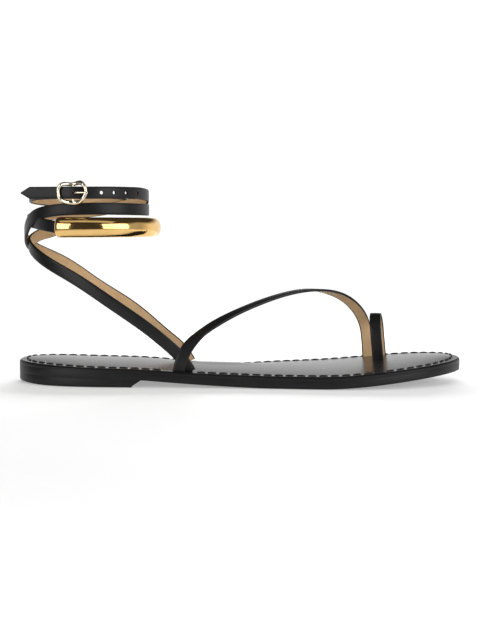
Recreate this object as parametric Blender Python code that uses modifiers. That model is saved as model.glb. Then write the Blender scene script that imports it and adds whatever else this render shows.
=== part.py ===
"""Ankle wrap sandal, right shoe, standing empty on its sole.

+X runs to the toe, +Y to the medial side and +Z up. The origin is on the floor, under the middle of
the shoe. Sizes are in millimetres here and become metres where the meshes are made.
"""

import math

import bmesh
import bpy
import numpy as np
from mathutils import Matrix, Vector

MM = 0.001
GAP = 0.3

# Sole: s runs from the heel's rear to the toe
SOLE_LENGTH = 256.0
OUTSOLE_THICK = 4.4
INSOLE_THICK = 2.5
SOLE_STATIONS = 44
EDGE_ROUND = 0.7
SOLE_OUTLINE = (
    # s, lateral half width, medial half width
    (0.0, 0.0, 0.0),
    (6.0, 15.0, 15.0),
    (18.0, 24.3, 22.4),
    (40.0, 31.0, 26.2),
    (65.0, 33.0, 26.2),
    (95.0, 33.6, 24.4),
    (125.0, 35.4, 24.8),
    (155.0, 39.2, 33.0),
    (180.0, 41.8, 40.4),
    (205.0, 40.4, 42.0),
    (228.0, 33.6, 36.4),
    (244.0, 22.0, 27.4),
    (253.0, 9.0, 16.8),
    (256.0, -2.5, 2.5),
)
BALL_FRONT = 172.0
BALL_REAR = 145.0
TOE_SPRING = 6.4
TOE_RUN = 88.0
BREAST_TOP = 73.0
BREAST_FOOT = 68.0
SEAT_LIFT = 4.0
SEAT_RISE = 1.6
ARCH_CURVE = 1.6
HEEL_FLAT_FROM = 22.0
HEEL_ROCKER = 1.2

# Straps, and the bangle that one of them runs through
BANGLE_OUT = 3.9
BANGLE_Z = 88.5
STRAP_WIDE = 6.7
STRAP_THICK = 1.5
STRAP_STEP = 4.5
TIP_LENGTH = 5.0
TIP_SHARE = 0.15
ANKLE_X = -87.4
ANKLE_LONG = 34.1
ANKLE_WIDE = 30.0
WRAP_STEP = 14.0
LATERAL_BASE_S = 99.0
MEDIAL_BASE_S = 98.0
LATERAL_RISE = (
    # x, y, height above the insole, facing, lean: the lateral strap from its anchor to the heel's back
    (-27.8, -25.6, GAP, -90.0, 0.0),
    (-32.3, -26.6, 5.9, -90.0, 0.0),
    (-40.0, -27.8, 13.8, -91.0, 0.0),
    (-50.0, -28.5, 22.2, -92.0, 0.0),
    (-72.0, -27.4, 37.6, -96.0, 0.0),
    (-92.0, -23.8, 50.6, -104.0, 0.0),
    (-112.5, -14.0, 62.0, -136.0, 0.0),
)
LATERAL_WRAP = (
    # turn in degrees, distance outside the ankle oval, height above the floor
    (-180.0, 0.0, 79.6),
    (-205.0, 0.3, 83.8),
    (-222.0, 2.0, 85.5),
    (-238.0, 3.8, 87.8),
    (-247.0, BANGLE_OUT, BANGLE_Z),
    (-462.0, BANGLE_OUT, BANGLE_Z),
    (-474.0, 3.7, 88.9),
    (-490.0, 1.6, 90.4),
    (-508.0, 0.0, 91.5),
    (-525.0, 0.0, 92.2),
    (-540.0, 0.0, 92.8),
    (-575.0, 0.0, 95.8),
    (-605.0, 0.0, 97.0),
    (-630.0, 0.0, 98.2),
    (-660.0, 0.0, 101.0),
    (-690.0, 0.0, 104.0),
    (-720.0, 0.0, 106.6),
    (-745.0, 0.2, 107.6),
    (-772.0, 1.4, 107.6),
    (-790.0, 2.8, 107.5),
)
MEDIAL_RISE = (
    # x, y, height above the insole, facing, lean: the medial strap from its anchor to the heel's back
    (-29.9, 21.9, GAP, 90.0, 0.0),
    (-34.4, 22.9, 5.6, 90.0, 0.0),
    (-45.0, 25.0, 14.9, 91.0, 0.0),
    (-56.4, 26.6, 24.6, 92.0, 0.0),
    (-67.0, 26.6, 32.9, 95.0, 0.0),
    (-85.3, 24.3, 44.9, 101.0, 0.0),
    (-106.5, 17.2, 59.8, 118.0, 0.0),
)
MEDIAL_WRAP = (
    # turn in degrees, distance outside the ankle oval, height above the floor
    (160.0, 1.2, 76.5),
    (180.0, 1.7, 81.1),
    (195.0, 1.7, 85.8),
    (210.0, 1.6, 92.4),
    (225.0, 1.4, 96.0),
    (240.0, 0.7, 97.6),
    (258.0, 0.2, 98.5),
    (285.0, 0.1, 98.8),
    (325.0, 0.0, 98.6),
    (365.0, 0.0, 98.5),
    (390.0, 1.3, 99.4),
    (405.0, 1.6, 101.1),
    (430.0, 1.6, 102.7),
    (450.0, 1.6, 103.2),
    (495.0, 0.4, 104.3),
    (540.0, -1.5, 105.6),
    (580.0, -0.5, 107.0),
    (606.0, 0.3, 107.4),
)
INSTEP_RISE = (
    # x, y, height above the floor, facing, lean: from the medial forefoot over to the lateral anchor
    (78.3, 34.0, 9.6, 90.0, 0.0),
    (77.3, 34.0, 22.9, 90.0, 5.0),
    (75.6, 33.0, 30.9, 90.0, 20.0),
    (70.7, 30.0, 39.4, 90.0, 46.0),
    (64.0, 26.0, 45.4, 90.0, 60.0),
    (55.2, 20.0, 49.5, 90.0, 72.0),
    (46.1, 14.0, 51.4, 90.0, 87.0),
    (29.1, 4.0, 50.3, 90.0, 93.0),
    (11.5, -5.0, 45.4, 90.0, 96.5),
    (-4.0, -13.0, 39.3, 90.0, 100.5),
    (-16.8, -19.8, 32.6, 90.0, 107.0),
    (-25.1, -24.0, 26.4, 90.0, 116.0),
    (-30.9, -26.9, 18.8, 90.0, 156.0),
    (-34.6, -27.0, 9.5, 90.0, 178.0),
)

# Toe loop: an arch of strap over the big toe
LOOP_X = 84.0
LOOP_Y = 22.5
LOOP_HEADING = 79.0
LOOP_RADIUS = 11.2
LOOP_WIDE = 6.6
LOOP_SHOULDER = 25.2
LOOP_BACK_LEAN = 2.4
LOOP_ARC_STEPS = 12

# Bangle: an open ended hollow tube round the lateral strap
BANGLE_FROM = -245.0
BANGLE_TO = -470.5
BANGLE_TALL = 10.9
BANGLE_DEEP = 7.5
BANGLE_WALL = 0.7
BANGLE_END_FLARE = 0.04
BANGLE_FLARE_TURN = 85.0
BANGLE_STATIONS = 44
BANGLE_SIDES = 18

# Buckle: u runs forward, v up and w out from the ankle at the buckle's middle
BUCKLE_TURN = 263.8
BUCKLE_Z = 107.4
BUCKLE_BAR_R = 0.9
BUCKLE_ARCH = 3.0
BUCKLE_ARCH_REACH = 6.0
BUCKLE_BAR_W = 2.1
BUCKLE_BAR_RISE = 5.4
CENTRE_BAR_R = 0.8
FRAME_SAMPLES = 44
BUCKLE_OUTLINE = (
    # u, v on the middle of the frame's wire, anticlockwise from the front bar
    (7.8, 0.8),
    (7.1, 4.2),
    (4.6, 6.1),
    (1.2, 5.3),
    (-2.4, 4.8),
    (-5.4, 5.0),
    (-7.3, 3.3),
    (-7.8, -0.4),
    (-6.6, -4.0),
    (-3.2, -5.8),
    (0.6, -6.1),
    (4.4, -5.2),
    (6.9, -2.6),
)
TIP_ROUTE = (
    # u, w of the strap that runs through the buckle to its free end
    (8.2, 2.6),
    (0.0, 4.0),
    (-8.2, 2.7),
    (-18.0, 1.6),
    (-29.6, 0.6),
)
END_ROUTE = (
    # u, w of the strap that carries the buckle, up to its centre bar
    (-6.0, 0.9),
    (-CENTRE_BAR_R - GAP, BUCKLE_BAR_W),
)
PRONG_R = 0.6
PRONG_ROUTE = (
    # u, w from inside the strap's hole, out and on to the front bar
    (1.1, 3.8),
    (1.2, 4.7),
    (2.0, 5.5),
    (4.6, 6.2),
    (8.6, 6.9),
)
HOLE_U = 1.1
HOLE_W = 4.0
HOLE_R = 1.0
HOLE_PLACES = (0.0, 6.2, 14.6, 21.9, 29.6, 38.2)
HOLE_SIDES = 12

BLACK_LEATHER = (0.018, 0.018, 0.019)
BLACK_EDGE = (0.022, 0.022, 0.023)
GOLD = (0.86, 0.56, 0.22)
PALE_GOLD = (0.84, 0.76, 0.58)


def natural_spline(knots, values):
    """Smooth curve through one row of values per knot, free at both ends."""
    knots = np.asarray(knots, dtype=float)
    values = np.asarray(values, dtype=float)
    spans = np.diff(knots)
    slopes = np.diff(values, axis=0) / spans[:, None]
    count = len(knots)
    system = np.eye(count)
    right = np.zeros_like(values)
    for i in range(1, count - 1):
        system[i, i - 1:i + 2] = spans[i - 1], 2.0 * (spans[i - 1] + spans[i]), spans[i]
        right[i] = 6.0 * (slopes[i] - slopes[i - 1])
    bends = np.linalg.solve(system, right)

    def at(where):
        i = int(np.clip(np.searchsorted(knots, where) - 1, 0, count - 2))
        before = (knots[i + 1] - where) / spans[i]
        after = (where - knots[i]) / spans[i]
        bend = (before ** 3 - before) * bends[i] + (after ** 3 - after) * bends[i + 1]
        return before * values[i] + after * values[i + 1] + bend * spans[i] ** 2 / 6.0

    return at


def sole_angle(s):
    """Even angle for a place along the sole, so that both ends come out round."""
    return math.acos(1.0 - 2.0 * s / SOLE_LENGTH)


SOLE_EDGES = natural_spline([sole_angle(row[0]) for row in SOLE_OUTLINE],
                            [row[1:] for row in SOLE_OUTLINE])


def outsole_foot(s):
    """Height of the outsole's underside: heel seat, arch, flat ball and toe spring."""
    if s < BREAST_TOP:
        return SEAT_LIFT + SEAT_RISE * (1.0 - s / BREAST_TOP)
    if s < BALL_REAR:
        return SEAT_LIFT * ((BALL_REAR - s) / (BALL_REAR - BREAST_TOP)) ** ARCH_CURVE
    share = max(0.0, s - BALL_FRONT) / TOE_RUN
    return TOE_SPRING * share ** 2 * (3.0 - 2.0 * share)


def outsole_top(s):
    """Height of the outsole's upper face."""
    return outsole_foot(s) + OUTSOLE_THICK


def insole_foot(s):
    """Height of the insole's underside."""
    return outsole_top(s) + GAP


def insole_top(s):
    """Height of the face that the foot stands on."""
    return insole_foot(s) + INSOLE_THICK


def lift_foot(s):
    """Height of the heel lift's underside: flat, with a small rise at the rear."""
    return HEEL_ROCKER * (max(0.0, HEEL_FLAT_FROM - s) / HEEL_FLAT_FROM) ** 2


def lift_top(s):
    """Height of the heel lift's upper face, under the outsole."""
    return outsole_foot(s) - GAP


def rim(stations, inset, height, above=0.0):
    """Loop round the sole at the stations, pulled in by inset: lateral side first, heel to toe."""
    lateral = []
    medial = []
    for s in stations:
        out_lateral, out_medial = SOLE_EDGES(sole_angle(s))
        lateral.append((s, -out_lateral))
        if out_lateral + out_medial > 0.01:
            medial.append((s, out_medial))
    loop = np.array(lateral + medial[::-1])
    along = np.roll(loop, -1, axis=0) - np.roll(loop, 1, axis=0)
    inward = np.stack([-along[:, 1], along[:, 0]], axis=1)
    loop = loop + inset * inward / np.linalg.norm(inward, axis=1)[:, None]
    return [(s - SOLE_LENGTH / 2.0, y, height(min(max(s, 0.0), SOLE_LENGTH)) + above) for s, y in loop]


def metres(point):
    """Point in millimetres as a vector in metres."""
    return Vector(point) * MM


def add_object(name, mesh, collection, material=None):
    """New object of a mesh in a collection, with its material."""
    item = bpy.data.objects.new(name, mesh)
    collection.objects.link(item)
    if material:
        mesh.materials.append(material)
    return item


def mesh_from(name, shape):
    """Mesh of a bmesh, smooth with sharp edges kept."""
    mesh = bpy.data.meshes.new(name)
    shape.to_mesh(mesh)
    shape.free()
    mesh.shade_smooth()
    mesh.set_sharp_from_angle(angle=math.radians(40.0))
    return mesh


def sole_layer(name, rims, collection, material):
    """Closed layer of the sole, lofted from its lowest rim to its highest."""
    shape = bmesh.new()
    loops = [[shape.verts.new(metres(point)) for point in loop] for loop in rims]
    count = len(loops[0])
    for lower, upper in zip(loops, loops[1:]):
        for i in range(count):
            j = (i + 1) % count
            shape.faces.new((lower[i], lower[j], upper[j], upper[i]))
    for loop, flip in ((loops[0], True), (loops[-1], False)):
        for i in range(count // 2):
            corners = [loop[i], loop[i + 1], loop[(count - i - 1) % count], loop[(count - i) % count]]
            corners = list(dict.fromkeys(corners))
            if len(corners) > 2:
                shape.faces.new(corners[::-1] if flip else corners)
    bmesh.ops.recalc_face_normals(shape, faces=shape.faces[:])
    return add_object(name, mesh_from(name, shape), collection, material)


def ankle_oval(turn, out):
    """Place and outward heading on the ankle oval, out millimetres beyond it."""
    angle = math.radians(turn)
    x = ANKLE_X + (ANKLE_LONG + out) * math.cos(angle)
    y = (ANKLE_WIDE + out) * math.sin(angle)
    heading = math.degrees(math.atan2(math.sin(angle) / ANKLE_WIDE, math.cos(angle) / ANKLE_LONG))
    return x, y, turn + (heading - turn + 180.0) % 360.0 - 180.0


def rise_rows(table, base_s):
    """Rows of a rising strap, its heights taken from the insole at its anchor."""
    ground = insole_top(base_s)
    return [(x, y, ground + above, facing, lean) for x, y, above, facing, lean in table]


def wrap_rows(table):
    """Rows round the ankle oval between the table's turns."""
    turns, outs, heights = np.array(table).T
    way = math.copysign(1.0, turns[-1] - turns[0])
    count = int(math.ceil(abs(turns[-1] - turns[0]) / WRAP_STEP)) + 1
    rows = []
    for turn in np.linspace(turns[0], turns[-1], count):
        out = np.interp(way * turn, way * turns, outs)
        height = np.interp(way * turn, way * turns, heights)
        x, y, facing = ankle_oval(turn, out)
        rows.append((x, y, height, facing, 0.0))
    return rows


def buckle_axes():
    """Middle of the buckle on the ankle oval, with its forward and outward directions and heading."""
    x, y, facing = ankle_oval(BUCKLE_TURN, 0.0)
    heading = math.radians(facing)
    forward = np.array((-math.sin(heading), math.cos(heading), 0.0))
    outward = np.array((math.cos(heading), math.sin(heading), 0.0))
    return np.array((x, y, BUCKLE_Z)), forward, outward, facing


def buckle_point(u, v, w):
    """Place in the shoe of a point given in the buckle's own directions."""
    middle, forward, outward, _ = buckle_axes()
    return middle + u * forward + w * outward + np.array((0.0, 0.0, v))


def buckle_rows(route, turns):
    """Strap rows through the buckle, faced that many whole turns on."""
    facing = buckle_axes()[3] + 360.0 * turns
    return [(*buckle_point(u, 0.0, w), facing, 0.0) for u, w in route]


def seated(corner, along):
    """Corner of a strap's end, slid along the strap until it is just clear of the insole."""
    ground = insole_top(corner[0] + SOLE_LENGTH / 2.0) + GAP
    return corner + along * (ground - corner[2]) / along[2]


class Strap:
    """A flat strap along rows of place, facing and lean."""

    def __init__(self, rows):
        rows = np.array(rows, dtype=float)
        steps = np.linalg.norm(np.diff(rows[:, :3], axis=0), axis=1)
        knots = np.concatenate(([0.0], np.cumsum(steps)))
        self.length = knots[-1]
        self.route = natural_spline(knots, rows)

    def section(self, where):
        """Middle point and the directions along, across and out of the strap at a length along it."""
        nudge = 0.2
        row = self.route(where)
        along = self.route(min(where + nudge, self.length))[:3] - self.route(max(where - nudge, 0.0))[:3]
        along /= np.linalg.norm(along)
        facing, lean = np.radians(row[3:])
        out = np.array((math.cos(lean) * math.cos(facing), math.cos(lean) * math.sin(facing), math.sin(lean)))
        across = np.cross(along, out)
        across /= np.linalg.norm(across)
        return row[:3], along, across, np.cross(across, along)

    def nearest(self, target):
        """Length along the strap at which it passes closest to a point."""
        places = np.linspace(0.0, self.length, 4000)
        distances = [np.linalg.norm(self.route(place)[:3] - target) for place in places]
        return places[int(np.argmin(distances))]

    def surface(self, name, wide, tip=0.0, seat_end=False):
        """Open mesh along the middle of the strap, cut to sit on the insole and narrowed at a free tip."""
        shape = bmesh.new()
        count = int(math.ceil(self.length / STRAP_STEP)) + 1
        places = list(np.linspace(0.0, self.length - tip, count))
        if tip:
            places.append(self.length)
        edges = []
        for place in places:
            middle, along, across, _ = self.section(place)
            share = TIP_SHARE if tip and place == self.length else 1.0
            half = across * wide * share / 2.0
            pair = (middle - half, middle + half)
            if place == 0.0 or (seat_end and place == self.length):
                pair = [seated(corner, along) for corner in pair]
            edges.append([shape.verts.new(metres(corner)) for corner in pair])
        for (low, high), (next_low, next_high) in zip(edges, edges[1:]):
            shape.faces.new((low, next_low, next_high, high))
        return mesh_from(name, shape)


def thicken(item, thickness, offset=0.0):
    """Give an open surface its wall."""
    wall = item.modifiers.new("wall", "SOLIDIFY")
    wall.thickness = thickness * MM
    wall.offset = offset
    wall.use_even_offset = True


def hide_as_cutter(item):
    """Mark an object as a shape that only cuts or joins another."""
    item.hide_render = True
    item.display_type = "WIRE"


def combine(item, other, operation):
    """Cut or join an object with another through an exact Boolean."""
    step = item.modifiers.new(f"{operation.lower()}_{other.name}", "BOOLEAN")
    step.operation = operation
    step.object = other
    step.solver = "EXACT"


def tube(name, points, radius, collection, material=None, closed=False):
    """Round wire along points, as a welded mesh."""
    curve = bpy.data.curves.new(name + "_wire", "CURVE")
    curve.dimensions = "3D"
    curve.bevel_depth = radius * MM
    curve.bevel_resolution = 2
    curve.use_fill_caps = True
    line = curve.splines.new("POLY")
    line.points.add(len(points) - 1)
    for knot, point in zip(line.points, points):
        knot.co = (*metres(point), 1.0)
    line.use_cyclic_u = closed
    wire = bpy.data.objects.new(name + "_wire", curve)
    collection.objects.link(wire)
    bpy.context.view_layer.update()
    depsgraph = bpy.context.evaluated_depsgraph_get()
    drawn = bpy.data.meshes.new_from_object(wire.evaluated_get(depsgraph))
    shape = bmesh.new()
    shape.from_mesh(drawn)
    bmesh.ops.remove_doubles(shape, verts=shape.verts[:], dist=0.00001)
    bmesh.ops.recalc_face_normals(shape, faces=shape.faces[:])
    bpy.data.objects.remove(wire)
    bpy.data.meshes.remove(drawn)
    return add_object(name, mesh_from(name, shape), collection, material)


def paint(name, colour, roughness, metallic=0.0):
    """Principled material of one colour."""
    material = bpy.data.materials.new(name)
    material.use_nodes = True
    shader = material.node_tree.nodes["Principled BSDF"]
    shader.inputs["Base Color"].default_value = (*colour, 1.0)
    shader.inputs["Roughness"].default_value = roughness
    shader.inputs["Metallic"].default_value = metallic
    return material


def build_sole(parts):
    """Heel lift, outsole and insole, one above the other."""
    turns = np.linspace(0.0, math.pi, SOLE_STATIONS)
    stations = [SOLE_LENGTH * (1.0 - math.cos(turn)) / 2.0 for turn in turns]
    heel = [s for s in stations if s < BREAST_TOP - 2.0] + [BREAST_TOP]
    heel_foot = [s * BREAST_FOOT / BREAST_TOP for s in heel]
    edge = paint("black_sole_edge", BLACK_EDGE, 0.45)
    sole_layer("heel_lift", [
        rim(heel_foot, EDGE_ROUND, lift_foot),
        rim(heel_foot, 0.0, lift_foot, EDGE_ROUND),
        rim(heel, 0.0, lift_top),
    ], parts, edge)
    sole_layer("outsole", [
        rim(stations, EDGE_ROUND, outsole_foot),
        rim(stations, 0.0, outsole_foot, EDGE_ROUND),
        rim(stations, 0.0, outsole_top),
    ], parts, edge)
    sole_layer("insole", [
        rim(stations, 0.0, insole_foot),
        rim(stations, 0.0, insole_top, -EDGE_ROUND),
        rim(stations, EDGE_ROUND, insole_top),
    ], parts, paint("glossy_black_leather", BLACK_LEATHER, 0.2))


def hole_cutter(strap, cutters):
    """Row of round holes through the strap's free end, one of them for the prong."""
    first = strap.nearest(buckle_point(HOLE_U, 0.0, HOLE_W))
    shape = bmesh.new()
    for back in HOLE_PLACES:
        middle, along, across, out = strap.section(first - back)
        turn = Matrix((along, across, out)).transposed().to_4x4()
        bmesh.ops.create_cone(shape, cap_ends=True, segments=HOLE_SIDES, radius1=HOLE_R * MM,
                              radius2=HOLE_R * MM, depth=3.0 * STRAP_THICK * MM,
                              matrix=Matrix.Translation(metres(middle)) @ turn)
    bmesh.ops.recalc_face_normals(shape, faces=shape.faces[:])
    return add_object("strap_holes", mesh_from("strap_holes", shape), cutters)


def build_upper(parts, cutters):
    """The two wound straps and the instep strap, joined where they cross."""
    lateral = Strap(rise_rows(LATERAL_RISE, LATERAL_BASE_S) + wrap_rows(LATERAL_WRAP)
                    + buckle_rows(TIP_ROUTE, -3))
    medial = Strap(rise_rows(MEDIAL_RISE, MEDIAL_BASE_S) + wrap_rows(MEDIAL_WRAP)
                   + buckle_rows(END_ROUTE, 1))
    instep = Strap(INSTEP_RISE)
    leather = paint("black_strap_leather", BLACK_LEATHER, 0.38)
    upper = add_object("upper", lateral.surface("upper", STRAP_WIDE, TIP_LENGTH), parts, leather)
    thicken(upper, STRAP_THICK)
    for name, strap, seat_end in (("medial_strap", medial, False), ("instep_strap", instep, True)):
        joined = add_object(name, strap.surface(name, STRAP_WIDE, seat_end=seat_end), cutters)
        thicken(joined, STRAP_THICK)
        hide_as_cutter(joined)
        combine(upper, joined, "UNION")
    holes = hole_cutter(lateral, cutters)
    hide_as_cutter(holes)
    combine(upper, holes, "DIFFERENCE")


def build_toe_loop(parts):
    """Arch of strap that the big toe goes through."""
    heading = math.radians(LOOP_HEADING)
    outline = [(-LOOP_RADIUS, insole_top(LOOP_X + SOLE_LENGTH / 2.0) + GAP, 180.0)]
    for angle in np.linspace(180.0, 0.0, LOOP_ARC_STEPS + 1):
        reach = LOOP_RADIUS * math.cos(math.radians(angle))
        outline.append((reach, LOOP_SHOULDER + LOOP_RADIUS * math.sin(math.radians(angle)), angle))
    outline.append((LOOP_RADIUS, outline[0][1], 0.0))
    rows = []
    for reach, height, lean in outline:
        back = LOOP_BACK_LEAN * (height - outline[0][1]) / LOOP_SHOULDER
        x = LOOP_X + reach * math.cos(heading) - back
        rows.append((x, LOOP_Y + reach * math.sin(heading), height, LOOP_HEADING, lean))
    loop = add_object("toe_loop", Strap(rows).surface("toe_loop", LOOP_WIDE, seat_end=True), parts,
                      paint("black_loop_leather", BLACK_LEATHER, 0.36))
    thicken(loop, STRAP_THICK)


def build_bangle(parts):
    """Hollow gold tube, bent round the ankle and open at both ends."""
    shape = bmesh.new()
    rings = []
    for turn in np.linspace(BANGLE_FROM, BANGLE_TO, BANGLE_STATIONS):
        x, y, facing = ankle_oval(turn, BANGLE_OUT)
        outward = Vector((math.cos(math.radians(facing)), math.sin(math.radians(facing)), 0.0))
        from_end = min(abs(turn - BANGLE_FROM), abs(turn - BANGLE_TO))
        near_end = max(0.0, 1.0 - from_end / BANGLE_FLARE_TURN)
        share = 1.0 + BANGLE_END_FLARE * near_end ** 2
        ring = []
        for k in range(BANGLE_SIDES):
            angle = 2.0 * math.pi * k / BANGLE_SIDES
            reach = outward * (share * BANGLE_DEEP / 2.0 * math.cos(angle))
            rise = Vector((0.0, 0.0, share * BANGLE_TALL / 2.0 * math.sin(angle)))
            ring.append(shape.verts.new(metres(Vector((x, y, BANGLE_Z)) + reach + rise)))
        rings.append(ring)
    for ring, after in zip(rings, rings[1:]):
        for k in range(BANGLE_SIDES):
            j = (k + 1) % BANGLE_SIDES
            shape.faces.new((ring[k], ring[j], after[j], after[k]))
    bangle = add_object("bangle", mesh_from("bangle", shape), parts, paint("polished_gold", GOLD, 0.12, 1.0))
    thicken(bangle, BANGLE_WALL, -1.0)


def build_buckle(parts, cutters):
    """Arched wire frame with its centre bar, and the prong that lies on it."""
    corners = list(BUCKLE_OUTLINE) + [BUCKLE_OUTLINE[0]]
    steps = np.linalg.norm(np.diff(corners, axis=0), axis=1)
    knots = np.concatenate(([0.0], np.cumsum(steps)))
    laps = np.concatenate((knots[:-1] - knots[-1], knots, knots[1:] + knots[-1]))
    outline = natural_spline(laps, corners[:-1] + corners + corners[1:])
    wire = []
    for place in np.linspace(0.0, knots[-1], FRAME_SAMPLES, endpoint=False):
        u, v = outline(place)
        bow = min(1.0, abs(u) / BUCKLE_ARCH_REACH) ** 2
        wire.append(buckle_point(u, v, BUCKLE_BAR_W + BUCKLE_ARCH * bow))
    metal = paint("pale_gold", PALE_GOLD, 0.18, 1.0)
    frame = tube("buckle_frame", wire, BUCKLE_BAR_R, parts, metal, closed=True)
    ends = [buckle_point(0.0, side * BUCKLE_BAR_RISE, BUCKLE_BAR_W) for side in (-1.0, 1.0)]
    bar = tube("buckle_bar", ends, CENTRE_BAR_R, cutters)
    hide_as_cutter(bar)
    combine(frame, bar, "UNION")
    tube("buckle_prong", [buckle_point(u, 0.0, w) for u, w in PRONG_ROUTE], PRONG_R, parts, metal)


def main():
    """Clear the scene and build the sandal's pieces."""
    for item in list(bpy.data.objects):
        bpy.data.objects.remove(item)
    parts = bpy.data.collections.new("ankle_wrap_sandal")
    cutters = bpy.data.collections.new("cutters")
    for collection in (parts, cutters):
        bpy.context.scene.collection.children.link(collection)
    build_sole(parts)
    build_upper(parts, cutters)
    build_toe_loop(parts)
    build_bangle(parts)
    build_buckle(parts, cutters)


main()
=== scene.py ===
"""Ankle wrap sandal, right shoe: its finished pieces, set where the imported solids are.

+X runs to the toe, +Y to the medial side and +Z up. Sizes are in millimetres in the classes and become metres
where a mesh is made.
"""

import logging
import math
from dataclasses import dataclass, field
from enum import Enum
from typing import Any, Callable, Iterable, Mapping, Optional, Sequence, Union

import bmesh
import bpy
import numpy as np
from mathutils import Matrix, Vector


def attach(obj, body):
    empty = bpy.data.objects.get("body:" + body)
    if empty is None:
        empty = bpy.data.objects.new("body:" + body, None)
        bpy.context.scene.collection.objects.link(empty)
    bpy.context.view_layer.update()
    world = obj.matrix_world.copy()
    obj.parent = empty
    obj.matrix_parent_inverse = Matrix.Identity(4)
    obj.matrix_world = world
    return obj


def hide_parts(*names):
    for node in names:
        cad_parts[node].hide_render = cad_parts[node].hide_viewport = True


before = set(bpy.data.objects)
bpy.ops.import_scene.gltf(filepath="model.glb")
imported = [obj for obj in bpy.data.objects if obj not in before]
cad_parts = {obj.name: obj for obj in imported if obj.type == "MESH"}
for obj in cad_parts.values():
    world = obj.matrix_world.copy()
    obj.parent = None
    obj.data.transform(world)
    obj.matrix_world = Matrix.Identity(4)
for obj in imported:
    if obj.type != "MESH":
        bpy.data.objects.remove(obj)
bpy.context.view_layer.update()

MM = 0.001
GAP = 0.3
BODY = "root"
LOG = logging.getLogger("sandal")

Point = np.ndarray
Curve = Callable[[float], np.ndarray]
Colour = tuple[float, float, float]
Sockets = dict[Union[int, str], Any]

EVEN = (1.0, 1.0, 1.0)


class Slot(Enum):
    """The record's material slots."""

    SOLE_EDGE = "sole_edge"
    HEEL_RUBBER = "heel_rubber"
    INSOLE = "insole_leather"
    STRAP = "strap_leather"
    BANGLE = "bangle_gold"
    BUCKLE = "buckle_metal"


class Face(Enum):
    """Where a stretch of a strap's section lies, which says what it is finished with."""

    OUTSIDE = 0
    LINING = 1
    EDGE = 2


class Wire:
    """A shader socket that takes part in arithmetic, each step of which adds a Math node."""

    def __init__(self, board: "Board", socket: bpy.types.NodeSocket) -> None:
        """Keep the socket and the board that it is on."""
        self.board = board
        self.socket = socket

    def math(self, operation: str, *others: "Value") -> "Wire":
        """Join this socket with others in one Math node.

        Args:
            operation: the Math node's operation.
            others: the node's second and third values or links.

        Returns:
            The node's result.
        """
        sockets: Sockets = {0: self}
        sockets.update({i + 1: other for i, other in enumerate(others)})
        return self.board.node("ShaderNodeMath", sockets, operation=operation)

    def __add__(self, other: "Value") -> "Wire":
        """Sum."""
        return self.math("ADD", other)

    def __mul__(self, other: "Value") -> "Wire":
        """Product."""
        return self.math("MULTIPLY", other)

    def __sub__(self, other: "Value") -> "Wire":
        """Difference."""
        return self.math("SUBTRACT", other)

    def __rsub__(self, other: float) -> "Wire":
        """Difference from a number."""
        return self.math("MULTIPLY_ADD", -1.0, other)

    def between(self, low: float, high: float) -> "Wire":
        """Smooth step from 0 at low to 1 at high, which may be the smaller one."""
        if low > high:
            return 1.0 - self.between(high, low)
        return self.board.node("ShaderNodeMapRange", {"Value": self, "From Min": low, "From Max": high},
                               interpolation_type="SMOOTHSTEP")


Value = Union[Wire, float]


class Board:
    """The node tree of one finish."""

    def __init__(self, tree: bpy.types.NodeTree) -> None:
        """Empty a node tree for use."""
        self.tree = tree
        tree.nodes.clear()

    def node(self, kind: str, sockets: Optional[Mapping[Union[int, str], Any]] = None,
             out: Union[int, str] = 0, **settings: Any) -> Wire:
        """Add a node, set it up and feed its sockets.

        Args:
            kind: the node's type.
            sockets: values or wires for its inputs, by index or name.
            out: which output is returned.
            settings: the node's own settings.

        Returns:
            The chosen output, or the first input of a node that has no output.
        """
        node = self.tree.nodes.new(kind)
        for name, value in settings.items():
            setattr(node, name, value)
        for name, value in (sockets or {}).items():
            if isinstance(value, Wire):
                self.tree.links.new(value.socket, node.inputs[name])
            else:
                node.inputs[name].default_value = value
        return Wire(self, node.outputs[out] if len(node.outputs) else node.inputs[0])

    def place(self, scale: Sequence[float] = EVEN, turn: Sequence[float] = (0.0, 0.0, 0.0)) -> Wire:
        """The piece's own coordinates, turned and scaled."""
        source = self.node("ShaderNodeTexCoord", out="Object")
        return self.node("ShaderNodeMapping", {"Vector": source, "Scale": scale, "Rotation": turn})

    def noise(self, size: float, detail: float = 3.0, stretch: Sequence[float] = EVEN) -> Wire:
        """Cloudy pattern whose blots are about size millimetres across."""
        return self.node("ShaderNodeTexNoise", {"Vector": self.place(stretch), "Scale": 1.0 / (size * MM),
                                                "Detail": detail, "Roughness": 0.55})

    def cells(self, size: float, feature: str = "F1") -> Wire:
        """Distance pattern of cells about size millimetres across."""
        return self.node("ShaderNodeTexVoronoi", {"Vector": self.place(), "Scale": 1.0 / (size * MM)},
                         out="Distance", feature=feature)

    def blend(self, share: Value, low: Colour, high: Colour) -> Wire:
        """Colour between two, by a share from 0 to 1."""
        return self.node("ShaderNodeMix", {"Factor": share, "A": (*low, 1.0), "B": (*high, 1.0)},
                         out=2, data_type="RGBA")

    def relief(self, height: Wire, depth: float) -> Wire:
        """Normal of a relief that is depth millimetres deep."""
        return self.node("ShaderNodeBump", {"Height": height, "Distance": depth * MM, "Strength": 1.0},
                         out="Normal")


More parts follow.
